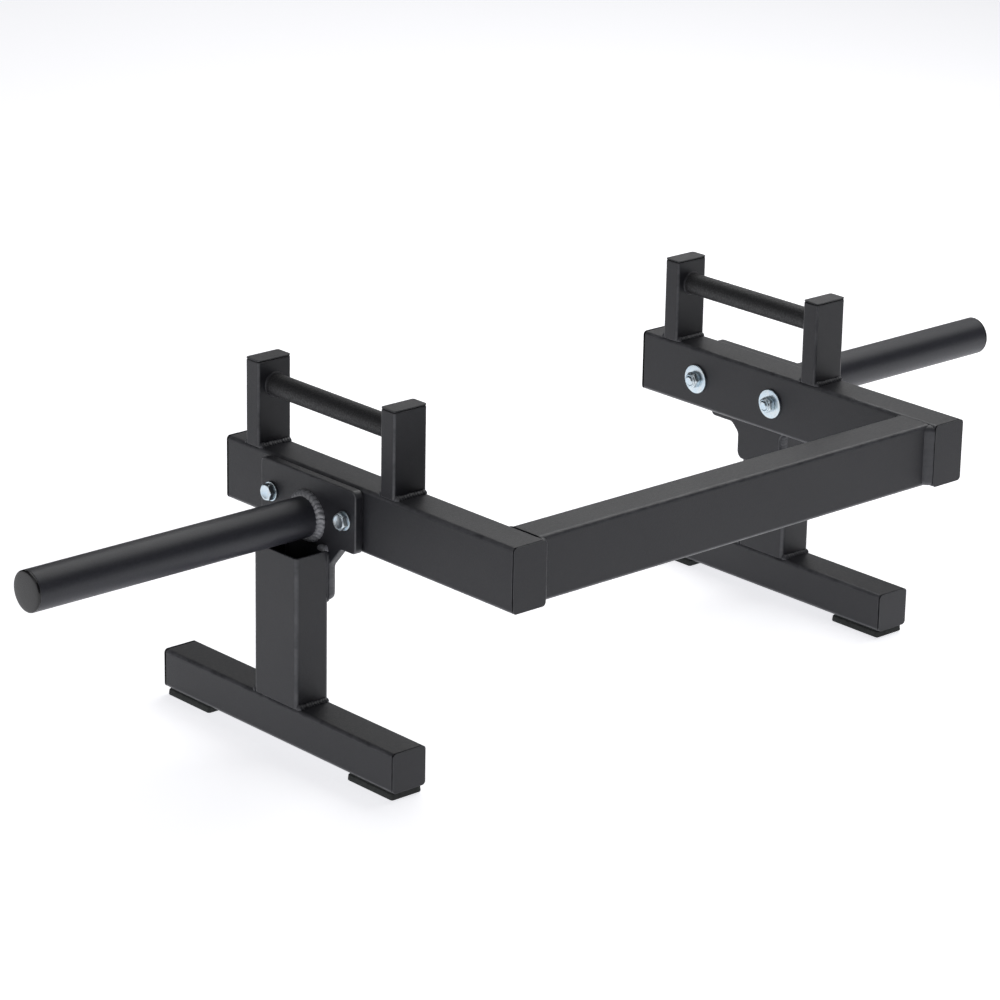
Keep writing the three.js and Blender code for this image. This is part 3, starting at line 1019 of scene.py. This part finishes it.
class BARS_OT_lock_nuts(MakeBars):
    """Lock nuts: hexagons chamfered on both faces, with a rolled collar"""

    bl_idname = "bars.lock_nuts"
    bl_label = "Lock nuts"

    def make(self):
        s = self.sizes
        count = 96
        angle = np.arange(count) * 2 * math.pi / count
        flat = np.full(count, 1.0)
        for label, side in SIDES:
            for spot, (end, _) in enumerate(ENDS):
                node = f"{label}_{end}_lock_nut"
                low, high = corners(node)
                base, top = beyond(node, side)
                centre = ((low + high) / 2)[[Y, Z]]
                total = abs(top - base)
                hexagon = total - 0.002
                reach = hexagon_reach(angle + (0.35, 0.8, 0.1, 0.55)[spot + (side > 0) * 2], s.head_flats)
                chamfer = CHAMFER_SHARE * s.head_flats
                fall = np.maximum(reach - chamfer, 0) * math.tan(CHAMFER_ANGLE)
                bore, collar = 0.0063, 0.0084
                rows = [
                    ((bore + 0.0008) * flat, 0 * flat),
                    (chamfer * flat, 0 * flat),
                    (reach - 0.0002, fall),
                    (reach, fall + 0.0004),
                    (reach, hexagon - fall - 0.0004),
                    (reach - 0.0002, hexagon - fall),
                    (chamfer * flat, hexagon * flat),
                    ((collar + 0.0004) * flat, hexagon * flat),
                    (collar * flat, (hexagon + 0.0003) * flat),
                    (collar * flat, (total - 0.0009) * flat),
                    ((collar - 0.0003) * flat, (total - 0.0003) * flat),
                    ((collar - 0.0009) * flat, total * flat),
                    ((bore + 0.0006) * flat, total * flat),
                    (bore * flat, (total - 0.0007) * flat),
                    (bore * flat, 0.0008 * flat),
                ]
                radius = np.array([row[0] for row in rows])
                rise = np.array([row[1] for row in rows])
                section = centre + radius[..., None] * circle(1.0, count)[None]
                grid = stood(section, base - side * rise, X)
                self.add(node, [skin(grid, wrap=True)], "zinc_steel")


class BARS_OT_welds(MakeBars):
    """Rippled weld beads: round the pegs and grips, at the posts, legs, brackets and crossbar"""

    bl_idname = "bars.welds"
    bl_label = "Weld beads"

    def make(self):
        s = self.sizes
        rng = np.random.default_rng(11)
        for label, side in SIDES:
            self.peg_weld(label, side, rng)
            for end, _ in ENDS:
                node = f"{label}_{end}_post"
                self.foot_weld(f"{node}_weld", node, rng)
                grip_low, grip_high = corners(f"{label}_grip")
                low, high = corners(node)
                middle = (grip_low + grip_high) / 2
                facing = 1 if middle[Y] > low[Y] else -1
                middle[Y] = high[Y] if facing > 0 else low[Y]
                radius = (grip_high[Z] - grip_low[Z]) / 2
                ring = weld_ring(middle, radius, Y, facing, s.grip_weld, s.ripple, rng)
                self.add_weld(f"{label}_{end}_grip_weld", [ring], "powder_coat")
            self.foot_weld(f"{label}_leg_foot_weld", f"{label}_leg", rng)
            self.bracket_weld(label, side, rng)
            self.crossbar_weld(label, side, rng)

    def peg_weld(self, label, side, rng):
        low, high = corners(f"{label}_peg")
        centre = (low + high) / 2
        centre[X] = beyond(f"{label}_bracket_plate", side)[0]
        radius = (high[Z] - low[Z]) / 2
        ring = weld_ring(centre, radius, X, side, self.sizes.peg_weld, self.sizes.ripple * 1.3, rng)
        # The peg weld ring takes the weld coat with painted glints.
        self.add_weld(f"{label}_peg_weld", [ring], "bright_weld_coat")

    def foot_weld(self, name, node, rng):
        """Beads along the two faces of an upright that look along Y, where it stands on the tube below."""
        low, high = corners(node)
        skins = []
        for face, outward in ((low[Y], -1), (high[Y], 1)):
            line = straight((low[X] + 0.0005, face, low[Z]), (high[X] - 0.0005, face, low[Z]))
            size = self.sizes.seam_weld
            skins.append(bead(line, (0, outward, 0), (0, 0, 1), size, self.sizes.ripple, rng, blob=0.22))
        self.add_weld(name, skins)

    def bracket_weld(self, label, side, rng):
        """Beads that hold the leg to its bracket.

        A flat fillet lies over each edge of the tab, a bead fills the groove between the tab and each
        rounded corner of the leg, and one runs under the tab. A short rough bead lies at the leg's top.
        """
        s = self.sizes
        plate = beyond(f"{label}_bracket_plate", side)[0]
        low, high = corners(f"{label}_leg")
        plate_low, _ = corners(f"{label}_bracket_plate")
        skins = []
        for face, outward in ((low[Y], -1), (high[Y], 1)):
            edge = face - outward * TAB_INSET
            line = straight((plate, edge, plate_low[Z] + 0.003), (plate, edge, high[Z] - 0.006))
            over = (0, outward * 0.34, 0)
            skins.append(bead(line, over, (-side, 0, 0), s.tab_weld, s.ripple, rng, relief=0.6))
            root = face - outward * 0.0055
            line = straight((plate, root, plate_low[Z]), (plate, root, high[Z] - 0.002))
            across = (0, outward, 0)
            skins.append(bead(line, across, (side, 0, 0), s.groove_weld, s.ripple, rng, relief=0.5))
        middle = (low[Y] + high[Y]) / 2
        tab = (high[Y] - low[Y]) / 2 - 0.015
        under = straight((plate, middle - tab, plate_low[Z]), (plate, middle + tab, plate_low[Z]))
        skins.append(bead(under, (0, 0, -1), (-side, 0, 0), s.seam_weld, s.ripple, rng, blob=0.15))
        self.add_weld(f"{label}_bracket_weld", skins)
        brim = high[Z] - 0.001
        top = straight((plate, low[Y] + 0.001, brim), (plate, low[Y] + 0.019, brim))
        # The leg-top bead takes the weld coat with painted glints.
        bright = bead(top, (0, 0, 1), (side, 0, 0), s.seam_weld * 1.15, s.ripple, rng, blob=0.3)
        self.add_weld(f"{label}_leg_top_weld", [bright], "bright_weld_coat")

    def crossbar_weld(self, label, side, rng):
        """Beads up the two inner corners between the crossbar and a rail; the front one is smooth."""
        s = self.sizes
        low, high = corners("crossbar")
        face = high[X] if side > 0 else low[X]
        front = low[Y], -1, s.crossbar_weld, {"relief": 0.05, "flat": 1.5}
        rear = high[Y], 1, s.seam_weld, {}
        skins = []
        for y, outward, size, shape in (front, rear):
            line = straight((face, y, high[Z] - 0.001), (face, y, low[Z] + 0.001))
            skins.append(bead(line, (0, outward, 0), (-side, 0, 0), size, s.ripple, rng, **shape))
        self.add_weld(f"{label}_crossbar_weld", skins)


# ---------------------------------------------------------------------------------------------
# Stage
# ---------------------------------------------------------------------------------------------


class BARS_OT_stage(MakeBars):
    """Camera, pale floor and soft studio light"""

    bl_idname = "bars.stage"
    bl_label = "Camera, floor and light"

    def make(self):
        self.camera()
        self.floor()
        self.lights()
        self.world()

    def camera(self):
        """Camera at a bearing and height from its target, rolled a little about its own line of sight."""
        azimuth, elevation, roll = (math.radians(a) for a in (-42.189, 19.244, 1.048))
        distance, target = 4.7677, Vector((-0.1403, 0.0, 0.26626))
        back = Vector((
            math.sin(azimuth) * math.cos(elevation),
            -math.cos(azimuth) * math.cos(elevation),
            math.sin(elevation),
        ))
        right = (-back).cross(Vector((0, 0, 1))).normalized()
        up = right.cross(-back).normalized()
        level = right * math.cos(roll) + up * math.sin(roll)
        upright = up * math.cos(roll) - right * math.sin(roll)
        data = bpy.data.cameras.new("camera")
        data.lens, data.sensor_width = 141.45, 36.0
        data.clip_end = 60.0
        camera = bpy.data.objects.new("camera", data)
        bpy.context.scene.collection.objects.link(camera)
        turn = Matrix((level, upright, back)).transposed().to_4x4()
        camera.matrix_world = Matrix.Translation(target + back * distance) @ turn
        bpy.context.scene.camera = camera

    def floor(self):
        """Wide flat sheet just under the pads."""
        half = 14.0
        line = np.linspace(-half, half, 9)
        grid = np.stack([*np.meshgrid(line, line), np.zeros((9, 9))], -1)
        index = np.arange(81).reshape(9, 9)
        quads = np.stack([index[:-1, :-1], index[:-1, 1:], index[1:, 1:], index[1:, :-1]], -1)
        mesh = bpy.data.meshes.new("floor")
        mesh.from_pydata(grid.reshape(-1, 3).tolist(), [], quads.reshape(-1, 4).tolist())
        mesh.materials.append(self.finishes["studio_floor"])
        floor = bpy.data.objects.new("floor", mesh)
        bpy.context.scene.collection.objects.link(floor)

    def lights(self):
        """Soft panels: a large one overhead to the right, and weaker ones from the left and behind."""
        panels = (
            ("overhead", (1.3, 0.4, 2.5), (-0.1, 0.0, 0.2), 3.0, 54.0),
            ("left", (-3.2, 0.2, 1.3), (0.0, 0.0, 0.25), 1.7, 12.0),
            ("behind", (2.6, 3.0, 1.9), (0.0, 0.0, 0.3), 2.6, 8.0),
        )
        for name, place, aim, size, power in panels:
            data = bpy.data.lights.new(name, "AREA")
            data.shape, data.size, data.energy = "SQUARE", size, power
            light = bpy.data.objects.new(name, data)
            light.location = place
            light.rotation_euler = (Vector(aim) - Vector(place)).to_track_quat("-Z", "Y").to_euler()
            bpy.context.scene.collection.objects.link(light)

    def world(self):
        """Studio surround, bright round the horizon and on the left and dim overhead.

        Radiance = dim + horizon + left: the last two fall from full to none between two heights of
        the direction, and left also grows with how far the direction points to -X.
        """
        world = bpy.data.worlds.new("studio")
        world.use_nodes = True
        tree = world.node_tree
        view = NodeBuilder(tree)
        place = view.node("ShaderNodeTexCoord", output="Generated")
        split = tree.nodes.new("ShaderNodeSeparateXYZ")
        tree.links.new(place.socket, split.inputs[0])
        x, _, z = (Level(view, out) for out in split.outputs)
        horizon = 1 - view.ramp(z, 0.38, 0.78)
        left = view.ramp(x * -1.0, 0.3, 0.9) * (1 - view.ramp(z, 0.5, 0.85))
        level = 0.10 + 0.85 * horizon + 0.80 * left
        shade = tree.nodes["Background"]
        tree.links.new(level.socket, shade.inputs["Strength"])
        scene = bpy.context.scene
        scene.world = world
        scene.view_settings.view_transform = "Standard"
        scene.view_settings.look = "None"


MAKERS = (
    BARS_OT_stage,
    BARS_OT_rails,
    BARS_OT_tube_caps,
    BARS_OT_posts,
    BARS_OT_grips,
    BARS_OT_bracket_plates,
    BARS_OT_pegs,
    BARS_OT_peg_caps,
    BARS_OT_legs,
    BARS_OT_pads,
    BARS_OT_washers,
    BARS_OT_bolts,
    BARS_OT_lock_nuts,
    BARS_OT_welds,
)


class BARS_PT_panel(bpy.types.Panel):
    """Sizes, colours and makers of the parallel bars"""

    bl_idname = "BARS_PT_panel"
    bl_label = "Parallel bars"
    bl_space_type = "VIEW_3D"
    bl_region_type = "UI"
    bl_category = "Parallel bars"

    def draw(self, context):
        layout = self.layout
        for group in (context.scene.bars_sizes, context.scene.bars_colours):
            box = layout.box()
            for key in group.__annotations__:
                box.prop(group, key)
        for maker in MAKERS:
            layout.operator(maker.bl_idname)


CLASSES = (BarsSizes, BarsColours, *MAKERS, BARS_PT_panel)


def register():
    for cls in CLASSES:
        bpy.utils.register_class(cls)
    bpy.types.Scene.bars_sizes = bpy.props.PointerProperty(type=BarsSizes)
    bpy.types.Scene.bars_colours = bpy.props.PointerProperty(type=BarsColours)


def unregister():
    del bpy.types.Scene.bars_colours
    del bpy.types.Scene.bars_sizes
    for cls in reversed(CLASSES):
        bpy.utils.unregister_class(cls)


def main():
    register()
    for maker in MAKERS:
        group, name = maker.bl_idname.split(".")
        getattr(getattr(bpy.ops, group), name)()


if __name__ == "__main__":
    main()
